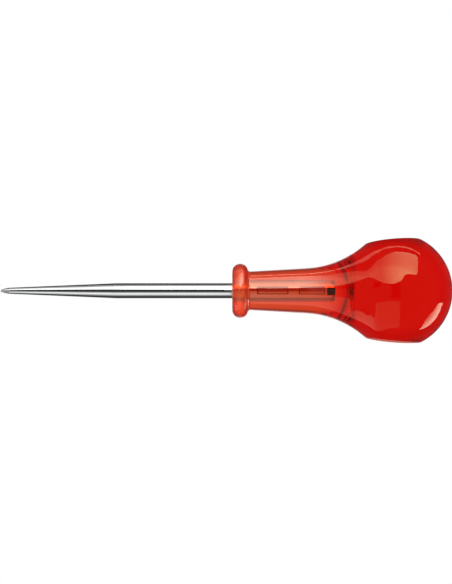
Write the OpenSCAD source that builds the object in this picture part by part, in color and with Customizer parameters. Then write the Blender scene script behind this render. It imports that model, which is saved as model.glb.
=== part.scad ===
// Bradawl: a pointed steel bar fixed in a transparent ball handle.
// The tool lies along X, with its point at -X. The origin is on the axis, in the
// plane of the collar's front face. The two flats on the ball face up and down.

/* [Blade] */
// Diameter of the round bar
bar_d = 5.2; // [4:0.1:6.5]
// Length of the bar that stands out of the handle
blade_out = 80; // [60:1:110]
// Length of the pointed part, from the point to the full bar
taper_l = 40; // [25:1:55]
// Diameter where the cone ends and the nose begins
nose_d = 2.15; // [1.6:0.05:2.6]
// Length of the curved nose
nose_l = 3.5; // [2.5:0.1:5]
// Radius of the small ball that blunts the point
point_r = 0.35; // [0.2:0.01:0.5]

/* [Tang] */
// Diameter of the tang, a little under the bar's
tang_d = 5.0; // [3.8:0.1:6.2]
// Length of the short cone between the bar and the tang, just inside the handle
tang_cone_l = 1.2; // [0.8:0.1:2]
// Length of the bar that is held in the handle
tang_l = 36.4; // [32:0.1:44]
// Length of the first pressed flat
front_flat_l = 10.6; // [8:0.1:12]
// Length of the second pressed flat
rear_flat_l = 9.2; // [7:0.1:11]
// Depth of the two pressed flats
flat_depth = 0.3; // [0.15:0.05:0.5]
// Length of the short flat at the end of the tang
end_flat_l = 3.2; // [2:0.1:4]
// Depth of the short flat at the end of the tang
end_flat_depth = 0.12; // [0.08:0.01:0.2]
// Length of the slope at each end of a flat
flat_slope_l = 0.6; // [0.3:0.05:1]
// Plain length between the first and second flats
flat_gap = 3.8; // [3:0.1:5]
// Plain length between the second and the short flat
end_gap = 0.9; // [0.5:0.1:2]
// Chamfer on the end of the tang
tang_chamfer = 0.4; // [0.2:0.05:0.6]
// Clearance between the tang and its bore
bore_fit = 0.02; // [0.01:0.01:0.05]

/* [Collar] */
// Diameter over the collar's round rim
collar_d = 18.7; // [17:0.1:22]
// Thickness of the collar
collar_l = 5.4; // [4:0.1:6]
// Fillet between the collar and the neck
collar_fillet = 0.8; // [0.4:0.1:1.2]

/* [Neck] */
// Diameter of the neck where it leaves the collar
neck_d = 13.3; // [11:0.1:14]
// Angle at which each side of the neck opens
neck_angle = 3.2; // [1:0.1:5]
// Distance from the collar's front face to the start of the flare
flare_from = 25.7; // [20:0.1:30]

/* [Ball] */
// Diameter of the ball
ball_d = 40; // [37:0.5:44]
// Overall length of the handle
handle_l = 76; // [72:0.5:84]
// Radius of the round shoulder between the flare and the ball
shoulder_r = 10.4; // [8:0.1:12]
// Place on the ball where the shoulder ends, as an angle from the rear of the axis
shoulder_angle = 102.6; // [98:0.1:108]
// Distance between the two flats at the ball's centre
across_flats = 35.2; // [33:0.1:37]
// Angle at which each flat leans in towards the neck
flat_lean = 4.7; // [3:0.1:6]
// Radius of the slight lengthwise crown on each flat
flat_crown_r = 100; // [80:1:160]

/* [Hidden] */
$fn = 96;
// Facets of the large cylinders that shape the flats
crown_fn = 360;
// Largest angle between neighbouring points of an arc
arc_step = 5;
// How far a cutting shape runs past what it cuts
overrun = 1;

bar_r = bar_d / 2;
tang_r = tang_d / 2;
nose_r = nose_d / 2;
ball_r = ball_d / 2;
neck_r = neck_d / 2;

// Unit vector at angle t
function unit(t) = [cos(t), sin(t)];

// Angle of the vector v
function heading(v) = atan2(v[1], v[0]);

// Points of an arc round c, listed from angle a to angle b
function arc(c, r, a, b) =
    let (n = ceil(abs(b - a) / arc_step))
    [for (i = [0 : n]) c + r * unit(a + (b - a) * i / n)];

// Turns a closed outline of [distance along X, radius] points about the X axis
module turned(outline) {
    rotate([0, 90, 0])
        rotate_extrude()
            polygon([for (p = outline) [p[1], p[0]]]);
}

// The point of the bar, measured from its tip: a circle touches both
// the small ball at the tip and the long cone
cone_angle = atan((bar_r - nose_r) / (taper_l - nose_l));
nose_run = nose_l - point_r;
ogive_r = (pow(nose_run, 2) + pow(nose_r, 2) - pow(point_r, 2))
    / (2 * (nose_r * cos(cone_angle) - nose_run * sin(cone_angle) - point_r));
ogive_c = [nose_l, nose_r] - ogive_r * unit(90 + cone_angle);
ogive_from = heading([point_r, 0] - ogive_c);

bar_outline = concat(
    arc([point_r, 0], point_r, 180, ogive_from),
    arc(ogive_c, ogive_r, ogive_from, 90 + cone_angle),
    [
        [taper_l, bar_r],
        [blade_out, bar_r],
        [blade_out + tang_cone_l, tang_r],
        [blade_out + tang_l - tang_chamfer, tang_r],
        [blade_out + tang_l, tang_r - tang_chamfer],
        [blade_out + tang_l, 0]
    ]);

// Block that presses one flat into the side of the tang that faces -Y. The flat
// starts at x, is l long with a slope at each end, and lies at distance d from the axis.
module press(x, l, d) {
    run = flat_slope_l * (tang_r + overrun - d) / (tang_r - d);
    inner = x + flat_slope_l;
    outer = x + l - flat_slope_l;
    translate([0, 0, -tang_r])
        linear_extrude(tang_d)
            polygon([
                [inner, -d],
                [outer, -d],
                [outer + run, -tang_r - overrun],
                [inner - run, -tang_r - overrun]
            ]);
}

// All flats on both sides of the tang. The bore's copy is smaller by the clearance g.
module tang_flats(g) {
    end_x = tang_l - end_flat_l;
    rear_x = end_x - end_gap - rear_flat_l;
    front_x = rear_x - flat_gap - front_flat_l;
    for (turn = [0, 180])
        rotate([turn, 0, 0]) {
            press(front_x + g, front_flat_l - 2 * g, tang_r - flat_depth + g);
            press(rear_x + g, rear_flat_l - 2 * g, tang_r - flat_depth + g);
            press(end_x + g, end_flat_l + flat_slope_l + overrun, tang_r - end_flat_depth + g);
        }
}

module blade() {
    color([0.78, 0.79, 0.80])
        difference() {
            translate([-blade_out, 0, 0]) turned(bar_outline);
            tang_flats(0);
        }
}

// The blind bore, shaped to the tang and larger by the clearance
module tang_bore() {
    mouth_r = bar_r + bore_fit;
    bore_r = tang_r + bore_fit;
    bore_l = tang_l + bore_fit;
    difference() {
        turned([
            [-overrun, 0],
            [-overrun, mouth_r],
            [0, mouth_r],
            [tang_cone_l, bore_r],
            [bore_l - tang_chamfer, bore_r],
            [bore_l, bore_r - tang_chamfer],
            [bore_l, 0]
        ]);
        tang_flats(bore_fit);
    }
}

// The collar's rim is a full round
rim_r = collar_l / 2;
rim_c = [rim_r, collar_d / 2 - rim_r];

// The fillet touches the rim's circle and the straight side of the neck
neck_from = [collar_l, neck_r];
fillet_side = neck_from - rim_c + collar_fillet * unit(90 + neck_angle);
fillet_along = fillet_side * unit(neck_angle);
fillet_slide = sqrt(pow(fillet_along, 2) - fillet_side * fillet_side
    + pow(rim_r + collar_fillet, 2)) - fillet_along;
fillet_c = rim_c + fillet_side + fillet_slide * unit(neck_angle);
fillet_from = heading(fillet_c - rim_c);

// The flare's circle touches the side of the neck and the round shoulder
ball_c = [handle_l - ball_r, 0];
shoulder_c = ball_c + (ball_r - shoulder_r) * unit(shoulder_angle);
flare_start = [flare_from, neck_r + (flare_from - collar_l) * tan(neck_angle)];
flare_reach = flare_start - shoulder_c;
flare_r = (flare_reach * flare_reach - pow(shoulder_r, 2))
    / (2 * (shoulder_r - flare_reach * unit(90 + neck_angle)));
flare_c = flare_start + flare_r * unit(90 + neck_angle);
flare_to = heading(shoulder_c - flare_c);

handle_outline = concat(
    [[0, 0]],
    arc(rim_c, rim_r, 180, fillet_from),
    arc(fillet_c, collar_fillet, 180 + fillet_from, 270 + neck_angle),
    arc(flare_c, flare_r, neck_angle - 90, flare_to),
    arc(shoulder_c, shoulder_r, 180 + flare_to, shoulder_angle),
    arc(ball_c, ball_r, shoulder_angle, 0));

// What one flat takes off the ball: all that lies outside a large cylinder across the tool
module flat_waste() {
    from_x = (flare_from + ball_c[0]) / 2;
    reach = ball_r + overrun;
    crown_c = [ball_c[0], across_flats / 2] - flat_crown_r * unit(90 + flat_lean);
    difference() {
        translate([from_x, -reach, 0])
            cube([handle_l + overrun - from_x, 2 * reach, reach]);
        translate([crown_c[0], 0, crown_c[1]])
            rotate([90, 0, 0])
                cylinder(h = 2 * (reach + overrun), r = flat_crown_r, center = true, $fn = crown_fn);
    }
}

module handle() {
    color([0.83, 0.07, 0.09, 0.8])
        difference() {
            turned(handle_outline);
            for (turn = [0, 180])
                rotate([turn, 0, 0]) flat_waste();
            tang_bore();
        }
}

blade();
handle();
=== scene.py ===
# %% [markdown]
# A bradawl makes starter holes for screws. This one is two pieces: a round steel bar, ground to a
# long point and plated, and a transparent ball handle moulded round the bar's tang. This file
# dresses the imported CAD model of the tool. Lengths are typed in millimetres, and MM turns them into
# metres. X runs from the point to the butt, and the two flats on the ball face up and down.

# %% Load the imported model
import math

import bpy
import numpy as np
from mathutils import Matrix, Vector


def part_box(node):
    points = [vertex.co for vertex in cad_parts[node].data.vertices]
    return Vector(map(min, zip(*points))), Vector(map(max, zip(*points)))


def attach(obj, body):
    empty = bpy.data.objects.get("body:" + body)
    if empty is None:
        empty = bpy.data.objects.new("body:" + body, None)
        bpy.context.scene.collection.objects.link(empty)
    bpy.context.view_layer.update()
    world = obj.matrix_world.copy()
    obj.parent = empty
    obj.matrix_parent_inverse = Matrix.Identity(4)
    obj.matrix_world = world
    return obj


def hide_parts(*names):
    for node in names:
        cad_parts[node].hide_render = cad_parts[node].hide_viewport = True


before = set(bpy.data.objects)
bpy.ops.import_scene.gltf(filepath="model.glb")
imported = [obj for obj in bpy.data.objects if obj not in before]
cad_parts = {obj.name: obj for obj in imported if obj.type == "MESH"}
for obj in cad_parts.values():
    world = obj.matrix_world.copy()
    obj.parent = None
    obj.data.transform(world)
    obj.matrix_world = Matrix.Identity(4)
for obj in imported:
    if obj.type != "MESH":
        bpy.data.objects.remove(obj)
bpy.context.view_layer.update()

MM = 0.001
blade_low, blade_high = (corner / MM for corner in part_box("blade"))
handle_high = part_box("handle")[1] / MM
tip_x, tang_end, handle_l = blade_low[0], blade_high[0], handle_high[0]

# %% [markdown]
# Both pieces are turned shapes: their outline is a chain of arcs and straight lines that touch each
# other smoothly. An outline could be drawn as a Bezier curve and spun with a modifier. Here every
# arc is worked out from the radii that a pattern maker would measure, so a circle stays a circle
# and the highlights on it run without a ripple.

# %% Outline helpers
same_point = 1e-6


def unit(angle):
    """Unit vector at an angle in degrees: its cosine and its sine."""
    return np.array([math.cos(math.radians(angle)), math.sin(math.radians(angle))])


def heading(vector):
    """Angle in degrees of a plane vector: the arc tangent of its two parts."""
    return math.degrees(math.atan2(vector[1], vector[0]))


def arc(centre, radius, start, end, count):
    """Points of an arc: the centre plus the radius times the unit vector at evenly spaced angles."""
    angles = np.radians(np.linspace(start, end, count))
    return np.stack([centre[0] + radius * np.cos(angles), centre[1] + radius * np.sin(angles)], 1)


def line(start, end, count):
    """Points of a straight line: evenly spaced blends of its two ends."""
    share = np.linspace(0, 1, count)[:, None]
    return np.asarray(start) * (1 - share) + np.asarray(end) * share


def chain(*stretches):
    """One outline out of several stretches, with the points that two stretches share kept once."""
    points = np.concatenate(stretches)
    step = np.linalg.norm(np.diff(points, axis=0), axis=1)
    return points[np.concatenate([[True], step > same_point])]


def soft_min(a, b, round_off):
    """The smaller of a and b, rounded off by a parabola where they differ by less than round_off."""
    overlap = np.clip(round_off - np.abs(a - b), 0, None) / round_off
    return np.minimum(a, b) - overlap**2 * round_off / 4


# %% [markdown]
# A turned piece becomes a grid: one row of points for each point of the outline, one column for
# each angle round the axis. Its section may leave the circle where a flat cuts it, so each row
# brings its own radii. Two poles close the grid, and the faces all look outwards.

# %% Turn a grid of radii into a closed mesh
def skin(name, along, angles, radii, first_pole, last_pole):
    """A closed surface: point (row, column) lies at along[row] on the axis and at radii[row, column]
    in the direction angles[row, column] round it. Each pole is a point on the axis that closes an
    end with a fan of triangles. The order of the corners turns each face outwards."""
    rows, columns = radii.shape
    ring_reflection = np.stack(
        [np.repeat(along[:, None], columns, 1), radii * np.cos(angles), radii * np.sin(angles)], 2
    )
    poles = [[first_pole, 0, 0], [last_pole, 0, 0]]
    points = np.concatenate([ring_reflection.reshape(-1, 3), poles]) * MM
    index = np.arange(rows * columns).reshape(rows, columns)
    here, there = index, np.roll(index, -1, 1)
    quads = np.stack([here[:-1], there[:-1], there[1:], here[1:]], 2).reshape(-1, 4)
    start, end = rows * columns, rows * columns + 1
    fan = np.full(columns, start), there[0], here[0]
    tail = here[-1], there[-1], np.full(columns, end)
    triangles = np.concatenate([np.stack(fan, 1), np.stack(tail, 1)])
    mesh = bpy.data.meshes.new(name)
    mesh.vertices.add(len(points))
    mesh.vertices.foreach_set("co", points.ravel())
    corners = np.concatenate([quads.ravel(), triangles.ravel()])
    mesh.loops.add(len(corners))
    mesh.loops.foreach_set("vertex_index", corners)
    sizes = np.concatenate([np.full(len(quads), 4), np.full(len(triangles), 3)])
    mesh.polygons.add(len(sizes))
    mesh.polygons.foreach_set("loop_start", np.concatenate([[0], np.cumsum(sizes)[:-1]]))
    mesh.update(calc_edges=True)
    mesh.validate()
    mesh.shade_smooth()
    piece = bpy.data.objects.new(name, mesh)
    bpy.context.scene.collection.objects.link(piece)
    print(name, len(points), "points,", 2 * len(quads) + len(triangles), "triangles")
    return piece


# %% [markdown]
# The blade starts as drawn bar. Its point is a tiny ball, a short curved nose and a long cone, all
# ground, and then the bar runs parallel into the handle. There its tang is a little thinner and has
# been pressed between jaws: two long faces and a short one on each side, which key it in the
# plastic. They show through the handle, so they are real shape here and not only a bump.

# %% Sizes of the blade
bar_r = 2.6
taper_l = 40.0
nose_l, nose_r = 3.5, 1.075
point_r = 0.35
tang_r = 2.5
tang_cone_l = 1.2
tang_chamfer = 0.4
flat_depth, end_flat_depth = 0.22, 0.12
long_face_r, long_face_half = 3.3, 1.02
end_face_r, end_face_half = 40.0, 0.75
jaw_edge = 0.12
front_flat_l, rear_flat_l, end_flat_l = 10.6, 9.2, 3.2
flat_gap, end_gap = 3.8, 0.9
flat_slope_l = 0.3

end_flat_x = tang_end - end_flat_l
rear_flat_x = end_flat_x - end_gap - rear_flat_l
front_flat_x = rear_flat_x - flat_gap - front_flat_l
print("flats start at", [round(x, 2) for x in (front_flat_x, rear_flat_x, end_flat_x)], "mm")

# %% Outline of the blade
first_ring = 172
point_rows, nose_rows, cone_rows, bar_rows = 9, 14, 16, 14

cone_angle = math.degrees(math.atan((bar_r - nose_r) / (taper_l - nose_l)))
nose_run = nose_l - point_r
ogive_r = (nose_run**2 + nose_r**2 - point_r**2) / (
    2 * (nose_r * unit(cone_angle)[0] - nose_run * unit(cone_angle)[1] - point_r)
)
ogive_c = np.array([nose_l, nose_r]) - ogive_r * unit(90 + cone_angle)
point_c = np.array([point_r, 0])
ogive_from = heading(point_c - ogive_c)
blade_outline = chain(
    arc(point_c, point_r, first_ring, ogive_from, point_rows),
    arc(ogive_c, ogive_r, ogive_from, 90 + cone_angle, nose_rows),
    line([nose_l, nose_r], [taper_l, bar_r], cone_rows),
    line([taper_l, bar_r], [-tip_x, bar_r], bar_rows),
)
blade_outline[:, 0] += tip_x
print("the cone opens", round(2 * cone_angle, 2), "degrees")

# %% Rows along the tang
slope_rows = np.linspace(0, flat_slope_l, 5)
before_slope, past_slope = [-0.04], [0.04, 0.3, 1.5]
chamfer_rows = tang_chamfer * np.array([1.5, 1.1, 1.0, 0.9, 0.5, 0.1, 0.0])


def flat_rows(start, length):
    """Places of the rows along one flat: close together at its two slopes, far apart between."""
    slope = np.concatenate([before_slope, slope_rows, flat_slope_l + np.array(past_slope)])
    return np.concatenate([start + slope, start + length - slope[::-1]])


tang_rows = np.unique(np.round(np.concatenate([
    np.linspace(0, tang_cone_l, 4),
    np.linspace(tang_cone_l, front_flat_x, 5),
    flat_rows(front_flat_x, front_flat_l),
    flat_rows(rear_flat_x, rear_flat_l),
    end_flat_x + slope_rows,
    tang_end - chamfer_rows,
]), 4))
print(len(tang_rows), "rows along the tang")

# %% Section of the tang
pressed_faces = (
    (front_flat_x, front_flat_l, flat_depth, long_face_r, long_face_half),
    (rear_flat_x, rear_flat_l, flat_depth, long_face_r, long_face_half),
    (end_flat_x, end_flat_l + flat_slope_l, end_flat_depth, end_face_r, end_face_half),
)


def tang_section(along, angles, fit):
    """Radii of the tang, smaller by fit. The bar is a circle that narrows over the short cone and at
    the end chamfer. A pressed face is an arc of a larger circle whose centre lies past the axis, and
    it is as wide as the jaw: its mask falls to 0 at the jaw's sides and along the two end slopes."""
    round_r = np.interp(
        along,
        [0, tang_cone_l, tang_end - tang_chamfer, tang_end],
        [bar_r, tang_r, tang_r, tang_r - tang_chamfer],
    )
    radii = np.repeat(round_r[:, None], angles.shape[1], 1)
    upwards, sideways = np.abs(np.sin(angles)), np.abs(np.cos(angles))
    for start, length, depth, face_r, half_width in pressed_faces:
        inside = np.minimum(along - start, start + length - along)[:, None] / flat_slope_l
        beside = (half_width - tang_r * upwards) / jaw_edge
        mask = np.clip(inside, 0, 1) * np.clip(0.5 + beside, 0, 1)
        centre = tang_r - depth - face_r
        face = centre * sideways + np.sqrt(face_r**2 - (centre * upwards) ** 2)
        radii = radii + (np.minimum(face, radii) - radii) * mask
    return radii - fit


# %% Build the blade
edge_steps = np.linspace(-1.7, 1.7, 7)
clear_of_edge, clear_between = 3.0, 2.6
end_ring = 0.6

low_edge, high_edge = (
    math.degrees(math.asin(half / tang_r)) for half in (end_face_half, long_face_half)
)
quadrant = np.concatenate([
    np.linspace(0, low_edge - clear_of_edge, 4), low_edge + edge_steps,
    np.linspace(low_edge + clear_of_edge, high_edge - clear_between, 3), high_edge + edge_steps,
    np.linspace(high_edge + clear_of_edge, 90, 20),
])
half_turn = np.concatenate([quadrant, 180 - quadrant[-2::-1]])
blade_angles = np.radians(np.concatenate([half_turn[:-1], 180 + half_turn[:-1]]))[None]

tang_along = tang_rows[1:]
tang_radii = tang_section(tang_along, np.repeat(blade_angles, len(tang_along), 0), 0)
blade_along = np.concatenate([blade_outline[:, 0], tang_along, [tang_end]])
blade_radii = np.concatenate([
    np.repeat(blade_outline[:, 1:], blade_angles.size, 1), tang_radii, tang_radii[-1:] * end_ring,
])
awl_blade = skin(
    "awl_blade", blade_along, np.repeat(blade_angles, len(blade_along), 0), blade_radii,
    tip_x, tang_end,
)

# %% [markdown]
# The handle is one moulding: a collar with a round rim, a neck that opens slightly, a hollow flare
# and a ball. Two flats on the ball stop the tool rolling off the bench. Each flat has a slight
# lengthwise crown and leans in towards the neck, and its edges are only just broken by polishing.

# %% Sizes of the handle
collar_r, collar_l, collar_fillet = 9.35, 5.4, 0.8
neck_r, neck_angle = 6.65, 3.2
flare_from = 25.7
ball_r = 20.0
shoulder_r, shoulder_angle = 10.4, 102.6
half_flats, flat_lean, flat_crown_r = 17.6, 4.7, 100.0
flat_edge = 0.14
wetted = 0.02

# %% Arcs of the handle
rim_r = collar_l / 2
rim_c = np.array([rim_r, collar_r - rim_r])
fillet_side = np.array([collar_l, neck_r]) - rim_c + collar_fillet * unit(90 + neck_angle)
fillet_along = fillet_side @ unit(neck_angle)
fillet_slide = math.sqrt(
    fillet_along**2 - fillet_side @ fillet_side + (rim_r + collar_fillet) ** 2
) - fillet_along
fillet_c = rim_c + fillet_side + fillet_slide * unit(neck_angle)
fillet_from = heading(fillet_c - rim_c)
neck_start = fillet_c - collar_fillet * unit(90 + neck_angle)

ball_c = np.array([handle_l - ball_r, 0])
shoulder_c = ball_c + (ball_r - shoulder_r) * unit(shoulder_angle)
neck_slope = math.tan(math.radians(neck_angle))
flare_start = np.array([flare_from, neck_r + (flare_from - collar_l) * neck_slope])
flare_reach = flare_start - shoulder_c
flare_r = (flare_reach @ flare_reach - shoulder_r**2) / (
    2 * (shoulder_r - flare_reach @ unit(90 + neck_angle))
)
flare_c = flare_start + flare_r * unit(90 + neck_angle)
flare_to = heading(shoulder_c - flare_c)
print("flare radius", round(flare_r, 2), "mm, fillet starts at", round(fillet_from, 1), "degrees")

# %% Outline of the handle
rim_rows, fillet_rows = 36, 12
past_rim = 40
row_step = 0.27
last_ring = 1.5


def even_arc(centre, radius, start, end):
    """An arc whose points lie about one row step apart."""
    count = int(abs(math.radians(end - start)) * radius / row_step) + 2
    return arc(centre, radius, start, end, count)


outside = chain(
    arc(rim_c, rim_r, 180, fillet_from, rim_rows),
    arc(fillet_c, collar_fillet, 180 + fillet_from, 270 + neck_angle, fillet_rows),
    line(neck_start, flare_start, int((flare_start - neck_start)[0] / row_step) + 2),
    even_arc(flare_c, flare_r, neck_angle - 90, flare_to),
    even_arc(shoulder_c, shoulder_r, 180 + flare_to, shoulder_angle),
    even_arc(ball_c, ball_r, shoulder_angle, last_ring),
)


def outline_at(along):
    """Radius of the round outline at a place on the axis, past the collar's rim."""
    return np.interp(along, outside[past_rim:, 0], outside[past_rim:, 1])


# %% [markdown]
# Two arcs that touch share a direction, but not a curvature, and in clear plastic that jump shows
# as an upright line. A real handle is polished on a soft wheel, which eases such places. Here an
# average over neighbouring points, weighed by a bell curve, does the same to the outline between
# the neck and the ball.

# %% Polish the joints of the outline
polish = 1.3
fine_step = 0.02
fine_from = flare_from - 14
polish_places = [flare_from - 10, flare_from - 6, ball_c[0] - 6, ball_c[0] - 3]
polish_shares = [0, 1, 1, 0]


def wear(along, radii):
    """How far polishing moves each point: from its radius to the average over a bell curve whose
    standard deviation is polish, times a share that fades out on the neck and on the ball."""
    fine_x = np.arange(fine_from, ball_c[0], fine_step)
    reach = int(3 * polish / fine_step)
    bell = np.exp(-0.5 * (np.arange(-reach, reach + 1) * fine_step / polish) ** 2)
    worn_r = np.convolve(np.pad(outline_at(fine_x), reach, "edge"), bell / bell.sum(), "valid")
    share = np.interp(along, polish_places, polish_shares)
    return (np.interp(along, fine_x, worn_r) - radii) * share


taken = wear(outside[:, 0], outside[:, 1])
outside[:, 1] += taken
print("polishing moved the outline by at most", round(float(np.abs(taken).max()), 3), "mm")

# %% Height of the flats
crown_c = np.array([ball_c[0], half_flats]) - flat_crown_r * unit(90 + flat_lean)
flats_from = (flare_from + ball_c[0]) / 2
no_flat = 10 * ball_r


def flat_height(along):
    """Distance of a flat from the axis: the crown's circle, or far outside before the flat starts."""
    crown = crown_c[1] + np.sqrt(flat_crown_r**2 - (along - crown_c[0]) ** 2)
    return np.where(along > flats_from, crown, no_flat)


search = np.linspace(flats_from, ball_c[0] + ball_r / 2, 4000)
cut = search[outline_at(search) > flat_height(search)]
flat_front, flat_rear = cut[0], cut[-1]
print("the flats run from", round(flat_front, 2), "to", round(flat_rear, 2), "mm")

# %% [markdown]
# Where a flat meets the ball there is a crisp curved edge, and it is what the eye reads first. A
# Boolean cut would leave long thin triangles there, which show as scratches in clear plastic. So
# the columns of the grid lean over until one of them runs along the edge, with close neighbours on
# both sides, and extra rows are put in where the edge crosses the top of the ball.

# %% Rows of the handle
near_tip = np.array([-0.5, -0.3, -0.18, -0.1, -0.05, 0, 0.05, 0.1, 0.18, 0.3, 0.5])
closest_rows = 0.02

extra = np.concatenate([flat_front + near_tip, flat_rear + near_tip])
extra = np.stack([extra, outline_at(extra)], 1)
rows = np.concatenate([outside, extra])
rows[past_rim:] = rows[past_rim:][np.argsort(rows[past_rim:, 0])]
keep = np.concatenate([[True], np.linalg.norm(np.diff(rows, axis=0), axis=1) > closest_rows])
rows = rows[keep]
print(len(rows), "rows along the outside")

# %% Columns of the handle
steepest_edge = 84.0
widest_edge, edge_narrowing = 0.55, 12
round_share, flat_share = np.linspace(0, 1, 27), np.linspace(0, 1, 13)
beside_edge = np.array([-0.5, 0, 0.5])
least_sine = 1e-6

edge_angle = np.degrees(np.arcsin(np.clip(flat_height(rows[:, 0]) / rows[:, 1], 0, 1)))
edge_angle = np.minimum(edge_angle, steepest_edge)
edge_half = np.minimum(widest_edge, (90 - edge_angle) / edge_narrowing)
below = (edge_angle - edge_half)[:, None] * round_share
middle = edge_angle[:, None] + edge_half[:, None] * beside_edge
above_from = (edge_angle + edge_half)[:, None]
above = above_from + (90 - above_from) * flat_share
quarter = np.concatenate([below, middle, above], 1)
half = np.concatenate([quarter, 180 - quarter[:, -2::-1]], 1)
outside_angles = np.radians(np.concatenate([half[:, :-1], 180 + half[:, :-1]], 1))
sine = np.maximum(np.abs(np.sin(outside_angles)), least_sine)
outside_radii = soft_min(rows[:, 1:], flat_height(rows[:, 0])[:, None] / sine, flat_edge)

# %% Build the handle
bore_ring = 0.5

bore_rows = tang_rows[::-1].copy()
bore_rows[0] -= wetted
bore_angles = np.repeat(outside_angles[:1], len(bore_rows), 0)
bore_radii = tang_section(bore_rows, bore_angles, wetted)
handle_along = np.concatenate([bore_rows[:1], bore_rows, rows[:, 0]])
handle_angles = np.concatenate([bore_angles[:1], bore_angles, outside_angles])
handle_radii = np.concatenate([bore_radii[:1] * bore_ring, bore_radii, outside_radii])
ball_handle = skin(
    "ball_handle", handle_along, handle_angles, handle_radii, bore_rows[0], handle_l
)

# %% Put both pieces on the frame
for piece, node, slot in (
    (awl_blade, "blade", "plated_steel"),
    (ball_handle, "handle", "red_plastic"),
):
    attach(piece, "root")
    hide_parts(node)
    print(piece.name, "stands for", node)


# %% [markdown]
# Materials are sums and products of patterns. Written as plain arithmetic they are easy to read and
# to change, so one small class wraps a socket of the node tree and turns each operator into a Math
# node. The same class makes any other node from its type, its settings and its inputs.

# %% Arithmetic on sockets
class Value:
    """A number that varies over a surface: an output socket, with arithmetic."""

    def __init__(self, shader, socket):
        self.shader, self.socket = shader, socket

    def math(self, operation, *others):
        return self.shader.node("ShaderNodeMath", {"operation": operation}, self, *others)

    def __add__(self, other):
        return self.math("ADD", other)

    def __mul__(self, other):
        return self.math("MULTIPLY", other)

    def __sub__(self, other):
        return self.math("SUBTRACT", other)

    def __rsub__(self, other):
        return self.shader.node("ShaderNodeMath", {"operation": "SUBTRACT"}, other, self)

    __radd__, __rmul__ = __add__, __mul__


class Shader:
    """The node tree of one material or world, emptied, with helpers that add to it."""

    def __init__(self, owner):
        owner.use_nodes = True
        self.tree = owner.node_tree
        self.tree.nodes.clear()

    def fill(self, socket, given):
        """Links a value to an input socket, or writes a constant on it."""
        if isinstance(given, Value):
            self.tree.links.new(given.socket, socket)
        else:
            socket.default_value = given

    def node(self, kind, settings, *inputs, out=0, **named):
        """Adds a node: settings first, then inputs in their order, then inputs by name."""
        made = self.tree.nodes.new(kind)
        for key, setting in settings.items():
            setattr(made, key, setting)
        pairs = list(enumerate(inputs)) + [(key.replace("_", " "), v) for key, v in named.items()]
        for key, given in pairs:
            self.fill(made.inputs[key], given)
        return Value(self, made.outputs[out]) if made.outputs else made

    def fade(self, value, start, end, first=0.0, last=1.0):
        """First where value is at start, last where it is at end, and a smooth step between."""
        settings = {"interpolation_type": "SMOOTHSTEP"}
        return self.node("ShaderNodeMapRange", settings, value, start, end, first, last)

    def band(self, value, low, high, soft):
        """1 between low and high, 0 outside them. Each edge fades over soft on either side."""
        rise = self.fade(value, low - soft, low + soft)
        return rise * self.fade(value, high + soft, high - soft)

    def noise(self, vector, scale, detail=2.0, roughness=0.5):
        """Smooth random values between about 0.3 and 0.7, scale of them to a metre."""
        return self.node(
            "ShaderNodeTexNoise", {"noise_dimensions": "3D"},
            Vector=vector, Scale=scale, Detail=detail, Roughness=roughness,
        )

    def stretched(self, vector, scales, turn=(0, 0, 0)):
        """The vector, turned and then multiplied along each axis, for drawn-out patterns."""
        return self.node(
            "ShaderNodeMapping", {"vector_type": "POINT"}, Vector=vector, Rotation=turn, Scale=scales
        )

    def relief(self, height, strength, distance):
        """A normal tilted by a height pattern, where a height of 1 stands out by the distance."""
        return self.node("ShaderNodeBump", {}, Strength=strength, Distance=distance, Height=height)

    def parts(self, vector):
        """The three parts of a vector."""
        split = self.node("ShaderNodeSeparateXYZ", {}, vector)
        return [Value(self, socket) for socket in split.socket.node.outputs]

    def colour_mix(self, factor, first, second):
        """A blend of two colours: the first where factor is 0, the second where it is 1."""
        mix = self.tree.nodes.new("ShaderNodeMix")
        mix.data_type = "RGBA"
        colour_inputs, colour_output = (0, 6, 7), 2
        for key, given in zip(colour_inputs, (factor, first, second)):
            self.fill(mix.inputs[key], given)
        return Value(self, mix.outputs[colour_output])


# %% [markdown]
# Bright plating is almost a mirror. It shows the room, and its own finish only shows in how crisp
# the room is: the cone was ground while it turned, so faint rings run round it, the bar was drawn
# and polished lengthwise, and the tang was left as it came from the press. Rubbing against wood has
# dulled the last few millimetres of the point.

# %% Plated steel: finish
steel = bpy.data.materials.new("plated_steel")
shader = Shader(steel)
place = shader.node("ShaderNodeTexCoord", {}, out=3)
along, side, height = shader.parts(place)

taper_x = (tip_x + taper_l) * MM
ground_fade = 1 * MM
worn_l = 9
in_front, in_plastic = 0.2 * MM, 0.8 * MM
on_cone = shader.fade(along, taper_x + ground_fade, taper_x - ground_fade)
on_tang = shader.fade(along, in_front, in_plastic)
on_point = shader.fade(along, (tip_x + worn_l) * MM, tip_x * MM)

across_rings, along_draw, along_wear = (1, 0.02, 0.02), (0.015, 1, 1), (0.25, 1, 1)
wear_slant = (0, 0, 0.4)
rings = shader.noise(shader.stretched(place, across_rings), 9000, 3, 0.7)
drawn = shader.noise(shader.stretched(place, along_draw), 7000, 3, 0.65)
pressed = shader.noise(place, 2600, 4, 0.6)
cloud = shader.noise(place, 90, 3, 0.55)
rubbed = shader.noise(shader.stretched(place, along_wear, wear_slant), 5200, 2, 0.6)

ring_depth, ring_level = 0.4, 0.75
finish = ring_depth * on_cone * (rings + ring_level) + (1 - on_cone) * drawn
finish = on_tang * pressed + (1 - on_tang) * finish
wear_marks = on_point * shader.fade(rubbed, 0.45, 0.62)
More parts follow.
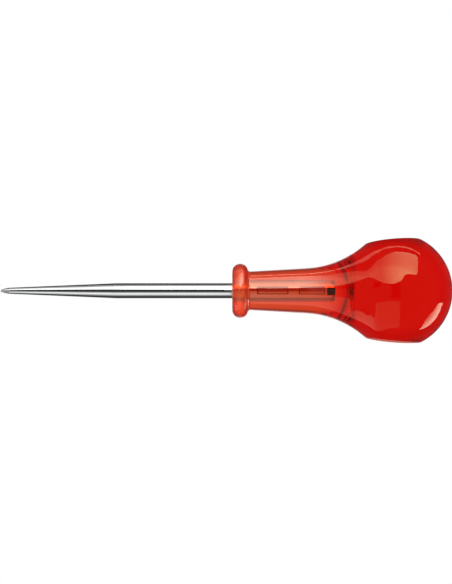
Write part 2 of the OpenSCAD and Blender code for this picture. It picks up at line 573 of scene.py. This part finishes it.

# %% [markdown]
# Seen through the handle, the tang carries painted shade along the edges of its pressed faces,
# heavier on the lower edge, and painted highlights on its upper side and on its sawn end. The short
# pressed face at the end is painted near black.

# %% Plated steel: colours
bright, dull = (0.64, 0.645, 0.655, 1), (0.5, 0.5, 0.5, 1)
worn, held = (0.43, 0.42, 0.405, 1), (0.73, 0.73, 0.72, 1)
upper_highlight_white, sawn_highlight_white = (1.0, 0.99, 0.97, 1), (0.97, 0.96, 0.95, 1)
crease_shade_dark, end_mark_black = (0.09, 0.03, 0.03, 1), (0.02, 0.03, 0.02, 1)
dull_share, worn_share, end_mark_share = 0.3, 0.5, 0.96

plate_colour = shader.colour_mix(shader.fade(cloud, 0.35, 0.68) * dull_share, bright, dull)
plate_colour = shader.colour_mix(wear_marks * worn_share, plate_colour, worn)
plate_colour = shader.colour_mix(on_tang, plate_colour, held)
# Painted highlight: the tang's upper side is painted lighter.
upper_highlight = on_tang * shader.fade(height, 1.6 * MM, 2.1 * MM)
plate_colour = shader.colour_mix(upper_highlight, plate_colour, upper_highlight_white)


def beyond_face(start, length, half_width):
    """How far a point of the tang lies outside a pressed face, in metres: the larger of the two
    distances past its ends and past its long sides, below 0 inside the face."""
    past_end = (along - (start + length / 2) * MM).math("ABSOLUTE") - length / 2 * MM
    past_side = height.math("ABSOLUTE") - half_width * MM
    return past_end.math("MAXIMUM", past_side)


# The short pressed face at the end, on both sides, is painted near black in a band a little below the
# middle.
end_mark_drop, end_mark_half, end_mark_from, end_mark_soft = 0.3 * MM, 0.95 * MM, 2.15 * MM, 0.04 * MM
past_end_mark = (height + end_mark_drop).math("ABSOLUTE") - end_mark_half
past_end_mark = past_end_mark.math("MAXIMUM", end_flat_x * MM - along)
past_end_mark = past_end_mark.math("MAXIMUM", end_mark_from - side.math("ABSOLUTE"))
scale = shader.fade(past_end_mark, end_mark_soft, -end_mark_soft)

# Painted highlight: the sawn end face is painted lighter, which brightens its image inside the
# plastic.
sawn_highlight = shader.fade(along, (tang_end - 0.08) * MM, (tang_end - 0.02) * MM)
plate_colour = shader.colour_mix(sawn_highlight, plate_colour, sawn_highlight_white)

# Painted shade: dark lines along the edges of the two long pressed faces, darker on the lower edge.
long_faces = beyond_face(front_flat_x, front_flat_l, long_face_half).math(
    "MINIMUM", beyond_face(rear_flat_x, rear_flat_l, long_face_half)
)
crease_shade = shader.band(long_faces, -0.2 * MM, 0.08 * MM, 0.05 * MM)
crease_shade_share = shader.fade(height, 0.2 * MM, 0.8 * MM, 0.82, 0.46)
plate_colour = shader.colour_mix(crease_shade * crease_shade_share, plate_colour, crease_shade_dark)
plate_colour = shader.colour_mix(scale * end_mark_share, plate_colour, end_mark_black)

# %% Plated steel: surface
plate_rough = 0.035 + 0.05 * finish + 0.03 * shader.fade(cloud, 0.4, 0.7) + 0.12 * wear_marks
plate = shader.node(
    "ShaderNodeBsdfPrincipled", {}, Base_Color=plate_colour, Metallic=1.0,
    Roughness=plate_rough + 0.03 * on_tang, Specular_Tint=(0.3, 0.3, 0.3, 1),
    Normal=shader.relief(finish, 0.35, 0.0025 * MM),
)
shader.node("ShaderNodeOutputMaterial", {}, Surface=plate)
awl_blade.data.materials.append(steel)
print(steel.name, "has", len(shader.tree.nodes), "nodes")

# %% [markdown]
# The handle is clear cellulose plastic. Its red comes from depth: light that crosses the thin neck
# comes out orange, and through the ball only red is left. That is what Volume Absorption does. The
# plastic's true absorption isn't known, so the skin takes a share too, which grows from the neck to
# the ball. A faint grey-brown ring, bowed towards the ball, is a painted reflection in the skin, and
# a darker red band on the collar's rim next to the neck is painted shade.

# %% Red plastic: colour of the skin
plastic = bpy.data.materials.new("red_plastic")
shader = Shader(plastic)
place = shader.node("ShaderNodeTexCoord", {}, out=3)
along, _, height = shader.parts(place)
level = height.math("ABSOLUTE")

clear, tinted = (0.84, 0.56, 0.56, 1), (0.83, 0.5, 0.5, 1)
thick, deep = (0.7, 0.45, 0.4, 1), (0.68, 0.16, 0.13, 1)
ring_reflection_inner, ring_reflection_outer = (0.15, 0.34, 0.2, 1), (0.1, 0.1, 0.07, 1)
collar_pale, lip_shade_red = (1.0, 0.97, 0.93, 1), (0.72, 0.22, 0.16, 1)

flow = shader.fade(shader.noise(shader.stretched(place, (0.35, 1, 1)), 130, 3, 0.55), 0.3, 0.75)
in_ball = shader.fade(along, 28 * MM, 42 * MM)
past_ring = shader.fade(along, 38.0 * MM, 40.4 * MM)
skin_colour = shader.colour_mix(flow, clear, tinted)
skin_colour = shader.colour_mix(in_ball, skin_colour, thick)
skin_colour = shader.colour_mix(past_ring, skin_colour, deep)

# Painted reflection: a grey-brown ring on the skin, bowed towards the ball.
ring_bow = 0.03 / MM
ring_low, ring_high, ring_soft = 38.6 * MM, 40.0 * MM, 0.35 * MM
ring_reflection = shader.band(along + ring_bow * level * level, ring_low, ring_high, ring_soft)
ring_reflection = ring_reflection * shader.fade(level, 2.2 * MM, 3.6 * MM)
ring_reflection_colour = shader.colour_mix(shader.fade(level, 5 * MM, 8 * MM), ring_reflection_inner, ring_reflection_outer)
skin_colour = shader.colour_mix(ring_reflection, skin_colour, ring_reflection_colour)

in_collar = shader.fade(along, 5.2 * MM, 3.4 * MM)
# Painted shade: a darker red band on the collar's rim next to the neck, where the gloss is also left
# off.
shaded_lip = shader.band(along, 4.1 * MM, 5.1 * MM, 0.3 * MM)
skin_colour = shader.colour_mix(in_collar, skin_colour, collar_pale)
skin_colour = shader.colour_mix(shaded_lip, skin_colour, lip_shade_red)

# %% [markdown]
# The skin was tumbled bright. It keeps a faint waviness, hair-fine handling marks that cross each
# other, and buffing lines on the two flats. The collar wasn't polished inside its mould, so it is
# frosted, under the same clear gloss as the neck.

# %% Red plastic: finish
waves = shader.noise(place, 210, 1, 0.4)
grain = shader.noise(place, 1900, 3, 0.6)
buffed = shader.noise(shader.stretched(place, (0.03, 1, 1)), 5200, 2, 0.6)
marks = [
    shader.fade(shader.noise(shader.stretched(place, scales, turn), 2400, 1, 0.5), 0.66, 0.74)
    for scales, turn in (
        ((0.03, 1, 1), (0.2, 0.5, 0.35)),
        ((1, 0.04, 1), (0.6, 0.1, -0.5)),
        ((1, 1, 0.03), (-0.4, 0.7, 0.9)),
    )
]
hairlines = (marks[0] + marks[1] + marks[2]).math("MINIMUM", 1.0)
on_flat = shader.fade(level, (half_flats - 1.3) * MM, (half_flats - 0.9) * MM)
flat_lines = on_flat * buffed
frosted = shader.fade(along, 6.3 * MM, 5.2 * MM)

# %% Red plastic: surface and depth
skin_rough = 0.012 + 0.012 * grain + 0.07 * hairlines + 0.02 * flat_lines + 0.28 * frosted
skin_height = waves + 0.06 * grain + 0.05 * flat_lines
gloss = (1 - in_ball) * (1 - shaded_lip) * (0.9 - 0.1 * frosted)
body = shader.node(
    "ShaderNodeBsdfPrincipled", {}, Base_Color=skin_colour, Roughness=skin_rough,
    IOR=1.48, Transmission_Weight=1.0, Specular_Tint=(0.9, 1.0, 0.5, 1),
    Coat_Weight=gloss, Coat_Roughness=0.05, Coat_IOR=1.7,
    Normal=shader.relief(skin_height, 0.5, 0.01 * MM),
)
depth = shader.node(
    "ShaderNodeVolumeAbsorption", {}, Color=(0.995, 0.4, 0.0, 1), Density=280.0
)
shader.node("ShaderNodeOutputMaterial", {}, Surface=body, Volume=depth)
ball_handle.data.materials.append(plastic)
print(plastic.name, "has", len(shader.tree.nodes), "nodes")

# %% [markdown]
# The tool rests on its lower flat and on its point, so the floor touches both. The camera looks
# from just under the level of the flat, and a floor seen from below is no use, so the floor has one
# side: from above it is a white sheet that keeps the tool's soft shadow, and from below it is clear.

# %% Camera direction
roll = math.radians(-2.5)
view_side = np.array([0, -math.cos(roll), math.sin(roll)])
view_up = np.array([0, math.sin(roll), math.cos(roll)])


def studio(direction):
    """A direction given as right, away from the camera and up, in the model's own axes."""
    right, away, up = direction
    return np.array([right, 0, 0]) - away * view_side + up * view_up


print("the camera looks along", [round(float(v), 3) for v in -view_side])

# %% [markdown]
# The crown's slope and the floor's are equal where they touch, so each slope of the floor gives one
# place on the flat. The right slope is the one whose floor also touches the point's small ball.

# %% Where the floor touches
steepest_floor, tried_slopes = -12, 1201
slopes = np.radians(np.linspace(steepest_floor, 0, tried_slopes))
normals = np.stack([np.sin(-slopes), np.cos(slopes)], 1)
touch = crown_c + flat_crown_r * normals
tip = np.array([tip_x + point_r, 0])
gap = ((touch - tip) * normals).sum(1) - point_r
at = np.argmin(np.abs(gap))
floor_normal = Vector((normals[at][0], 0, -normals[at][1]))
floor_point = Vector((touch[at][0], 0, -touch[at][1])) * MM
print("the floor touches the flat at", [round(v / MM, 2) for v in floor_point], "mm")

# %% Floor
floor_half = 1.5
floor_along = Vector((floor_normal.z, 0, -floor_normal.x))
floor_corners = [
    floor_point + floor_along * (u * floor_half) + Vector((0, v * floor_half, 0))
    for u, v in ((-1, -1), (1, -1), (1, 1), (-1, 1))
]
floor_mesh = bpy.data.meshes.new("floor")
floor_mesh.from_pydata(floor_corners, [], [(0, 1, 2, 3)])
if floor_mesh.polygons[0].normal.z < 0:
    floor_mesh.flip_normals()
floor = bpy.data.objects.new("floor", floor_mesh)
bpy.context.scene.collection.objects.link(floor)
floor.visible_glossy = floor.visible_transmission = floor.visible_shadow = False

# %% White sheet
sheet_white, glow_white, glow_share = (0.9, 0.9, 0.9, 1), (1, 1, 1, 1), 0.62
sheet = bpy.data.materials.new("white_sheet")
shader = Shader(sheet)
matt = shader.node("ShaderNodeBsdfDiffuse", {}, Color=sheet_white)
glow = shader.node("ShaderNodeEmission", {}, Color=glow_white, Strength=1.0)
top_side = shader.node("ShaderNodeMixShader", {}, glow_share, matt, glow)
under_side = shader.node("ShaderNodeBsdfTransparent", {})
behind = shader.node("ShaderNodeNewGeometry", {}, out=6)
surface = shader.node("ShaderNodeMixShader", {}, behind, top_side, under_side)
shader.node("ShaderNodeOutputMaterial", {}, Surface=surface)
floor.data.materials.append(sheet)
print(sheet.name, "has", len(shader.tree.nodes), "nodes")

# %% [markdown]
# Chrome and clear plastic have no light and shade of their own: they show the studio. So the studio
# is built as a photographer builds it, and the world shows something else to each kind of ray. The
# camera sees plain white. Surfaces mirror a dark room, which draws the dark outlines. Straight in
# front of the tool it has a still darker slit, and straight behind the tool it is brighter above and
# below eye level. A thin red line just below eye level at the back is there for the lower flat.
# Light that leaves the plastic meets the white backdrop, which is dimmer at the back low down and
# overhead, and a dark red flag in front of the tool, which draws the dark line along the tang.

# %% World: the room that surfaces mirror
world = bpy.data.worlds.new("studio")
bpy.context.scene.world = world
shader = Shader(world)
direction = shader.node("ShaderNodeTexCoord", {}, out=0)
along, away, up = shader.parts(direction)
round_angle = up.math("ARCTAN2", -1 * away) * (180 / math.pi)
beside_line = along.math("ABSOLUTE")
in_line = shader.fade(beside_line, 0.2, 0.12)

room_front, room_rear, slit_drop, rear_lift = 0.17, 0.07, 0.12, 0.5
slit = in_line * shader.band(round_angle, -17, 12, 2)
off_level = (up + 0.02).math("ABSOLUTE")
behind_tool = shader.fade(away, 0.8, 0.92) * in_line * shader.fade(off_level, 0.07, 0.12)
room = shader.fade(away, -0.3, 0.4, room_front, room_rear)
room = room - slit_drop * slit + rear_lift * behind_tool

under_flat_red = (0.6, 0.17, 0.12, 1)
under_flat = shader.band(round_angle, -179.4, -176.2, 0.5) * shader.fade(beside_line, 0.16, 0.1)

# %% World: the backdrop behind the plastic
red_cloth = (0.54, 0.12, 0.08, 1)
flag = shader.fade(beside_line, 0.5, 0.35) * shader.band(round_angle, -9, 40, 4)

floor_drop, overhead_drop, ceiling_drop = 0.55, 0.6, 0.1
floor_side = shader.fade(up, -0.52, -0.84) * shader.fade(away, 0.0, 0.3)
overhead = shader.fade(up, 0.7, 0.88) * shader.fade(away, 0.3, 0.42)
ceiling = shader.fade(up, 0.5, 0.62) * shader.fade(away, 0.35, 0.5)
through = (1 - floor_drop * floor_side) * (1 - overhead_drop * overhead)
through = through * (1 - ceiling_drop * ceiling)

# %% World: what each kind of ray sees
path = shader.node("ShaderNodeLightPath", {})
ray = {socket.name: Value(shader, socket) for socket in path.socket.node.outputs}
passed = ray["Is Transmission Ray"]
reflected = ray["Is Glossy Ray"] * (1 - passed)
shade = 1 + reflected * (room - 1) + passed * (through - 1)
shade = shader.colour_mix(passed * flag, shade, red_cloth)
shade = shader.colour_mix(reflected * under_flat, shade, under_flat_red)
background = shader.node("ShaderNodeBackground", {}, Color=shade, Strength=1.0)
shader.node("ShaderNodeOutputWorld", {}, Surface=background)
print(world.name, "has", len(shader.tree.nodes), "nodes")

# %% [markdown]
# Each soft box is a flat card that glows. Its corners are given as directions from the middle of
# the ball, because the ball mirrors the whole room: where a highlight's corner sits on the ball
# tells in which direction the card's corner must lie. A large box hangs in front and above, with
# one corner cut off, and glows less towards its far left end.

# %% Cards
ball_centre = np.array([ball_c[0], 0, 0]) * MM


def card(name, corners, facing, distance, glow, centre=ball_centre):
    """A glowing polygon: each corner lies where its direction from the centre meets the plane that is
    square to facing at that distance. Glow gives its brightness or colour from the place on it."""
    facing = np.array(facing) / np.linalg.norm(facing)
    points = [
        Vector(centre + studio(np.array(c) * distance / (np.array(c) @ facing))) for c in corners
    ]
    mesh = bpy.data.meshes.new(name)
    mesh.from_pydata(points, [], [tuple(range(len(points)))])
    made = bpy.data.objects.new(name, mesh)
    bpy.context.scene.collection.objects.link(made)
    glowing = bpy.data.materials.new(name)
    shader = Shader(glowing)
    place = shader.parts(shader.node("ShaderNodeTexCoord", {}, out=3))
    emission = shader.node("ShaderNodeEmission", {}, Color=glow(shader, place), Strength=1.0)
    shader.node("ShaderNodeOutputMaterial", {}, Surface=emission)
    mesh.materials.append(glowing)
    made.visible_camera = made.visible_diffuse = made.visible_shadow = False
    print(name, "has", len(points), "corners")
    return made


# %% Soft boxes
def upper_glow(shader, place):
    """Dim at the far left, bright at the right, and brighter towards the lower edge."""
    across, _, height = place
    sideways = shader.fade(across, -0.35, 0.38, 0.9, 3.5)
    middle_part = shader.fade(height, 0.62, 0.5, 0.85, 1.0)
    return sideways * (middle_part + shader.fade(height, 0.5, 0.38, 0.0, 0.55))


def top_glow(shader, place):
    """A little dimmer at its left end."""
    return shader.fade(place[0], -0.6, -0.3, 0.9, 1.65)


def low_glow(shader, place):
    """Dim along its front edge and bright along its rear edge."""
    return shader.fade(place[1], -0.03, 0.2, 0.7, 5.2)


def reflector_glow(shader, place):
    """A white reflector: brighter at its left end, which is nearer to the lamps."""
    return shader.fade(place[0], -0.6, -0.3, 0.9, 0.52)


card("upper_box", [
    (-0.94, 0.05, 0.33), (-0.42, -0.23, 0.88), (0.0, -0.13, 0.99), (0.53, -0.02, 0.83),
    (0.64, -0.6, 0.48), (0.31, -0.79, 0.53), (0.19, -0.92, 0.345), (-0.05, -0.97, 0.23),
    (-0.53, -0.8, 0.25), (-0.93, -0.16, 0.33),
], (-0.2, -0.7, 0.68), 0.6, upper_glow)
card("top_strip", [
    (-0.62, 0.13, 1), (-0.1, 0.07, 1), (0.25, 0.12, 1), (0.71, 0.12, 1), (0.71, 0.2, 1),
    (0.25, 0.2, 1), (-0.1, 0.15, 1), (-0.5, 0.2, 1), (-0.85, 0.5, 1), (-1.2, 0.85, 1),
    (-1.5, 0.75, 1), (-1.15, 0.4, 1),
], (0, 0, 1), 0.7, top_glow)
low_box = card("low_box", [
    (0.9, 0.375, -0.219), (0.951, 0.159, -0.265), (0.827, -0.02, -0.563), (0.717, 0.016, -0.697),
    (0.525, 0.225, -0.82), (0.683, 0.368, -0.631), (0.776, 0.397, -0.49),
], (0.75, 0.3, -0.55), 0.6, low_glow)
front_reflector = card("front_reflector", [
    (-0.81, -0.48, -0.34), (-0.283, -0.9, -0.33), (0.136, -0.927, -0.349),
    (0.109, -0.226, -0.968), (-0.169, -0.168, -0.971), (-0.55, 0.28, -0.79),
    (-0.683, 0.415, -0.601), (-0.828, 0.196, -0.526), (-0.83, 0.0, -0.55), (-0.72, -0.1, -0.68),
    (-0.77, -0.32, -0.55),
], (-0.2, -0.6, -0.75), 0.5, reflector_glow)
low_box.visible_transmission = front_reflector.visible_transmission = False

# %% [markdown]
# Flags are cards of dark cloth. The red one hangs in front of the handle, where it covers the upper
# box from the light that leaves the plastic, and reflections don't see it. The black one is close
# to the blade, where only reflections see it. It draws the dark line on the bar.

# %% Flags
black_cloth = (0.04, 0.04, 0.04, 1)
flag_centre = np.array([-47, 0, 0]) * MM


def cloth(colour):
    """Cloth of one colour, the same all over."""
    return lambda shader, place: colour


front_flag = card("front_flag", [
    (-0.4, -0.995, 0.1), (0.4, -0.995, 0.1), (0.4, -0.839, 0.545), (-0.4, -0.839, 0.545),
], (0, -0.93, 0.37), 0.45, cloth(red_cloth))
front_flag.visible_glossy = False
blade_flag = card("blade_flag", [
    (-0.62, -1, 0.14), (0.6, -1, 0.14), (0.6, -1, 0.374), (0.1, -1, 0.374), (-0.62, -1, 0.58),
], (0, -1, 0), 0.075, cloth(black_cloth), flag_centre)
blade_flag.visible_transmission = False

# %% [markdown]
# Two long narrow lamps stand beside the blade and draw its bright lines. They would spoil the
# handle's highlights, so they are linked to the blade and light nothing else.

# %% Lamps for the blade
lit = bpy.data.collections.new("lit_by_strips")
lit.objects.link(awl_blade)
strip_reach, strip_l, strip_x = 80 * MM, 100 * MM, -45 * MM


def strip(name, middle, half, level):
    """A long narrow lamp beside the blade. Middle is how many degrees below the camera it stands, as
    the blade sees it, and half is half the angle that its width fills."""
    lamp = bpy.data.lights.new(name, "AREA")
    lamp.shape = "RECTANGLE"
    lamp.size, lamp.size_y = strip_l, 2 * strip_reach * math.tan(math.radians(half))
    lamp.energy = level * math.pi * lamp.size * lamp.size_y
    made = bpy.data.objects.new(name, lamp)
    below = math.radians(middle)
    toward = Vector(studio((0, -math.cos(below), -math.sin(below))))
    made.location = toward * strip_reach + Vector((strip_x, 0, 0))
    made.rotation_mode = "QUATERNION"
    made.rotation_quaternion = toward.to_track_quat("Z", "Y")
    made.visible_camera = made.visible_diffuse = made.visible_transmission = False
    made.light_linking.receiver_collection = lit
    bpy.context.scene.collection.objects.link(made)
    print(name, [round(v, 3) for v in made.location])


strip("wide_strip", 50, 22, 0.3)
strip("narrow_strip", 48, 8, 0.75)

# %% [markdown]
# The picture is taller than it is wide, so the sensor's width spans its height. From 1.2 m away the
# tool shows almost no perspective, as in the photo.

# %% Camera
camera_distance = 1.2
aim = Vector((-2.18, 0, -0.43)) * MM
frame_w, frame_h = 452, 584
picture_w = 156.06 * MM
picture_h = picture_w * frame_h / frame_w

lens = bpy.data.cameras.new("camera")
lens.sensor_fit = "AUTO"
lens.sensor_width = 36
lens.lens = lens.sensor_width * camera_distance / picture_h
camera = bpy.data.objects.new("camera", lens)
camera.location = aim + Vector(view_side) * camera_distance
camera.rotation_mode = "QUATERNION"
camera.rotation_quaternion = (-Vector(view_side)).to_track_quat("-Z", "Y")
bpy.context.scene.collection.objects.link(camera)
bpy.context.scene.camera = camera
bpy.context.scene.view_settings.view_transform = "Standard"
print("lens", round(lens.lens, 1), "mm")

# %% [markdown]
# Light is reflected many times inside the clear handle, and a path that stops early turns black.

# %% Light paths
bounces = 32
for kind in ("max_bounces", "glossy_bounces", "transmission_bounces"):
    setattr(bpy.context.scene.cycles, kind, bounces)
print("a light path has up to", bounces, "bounces")
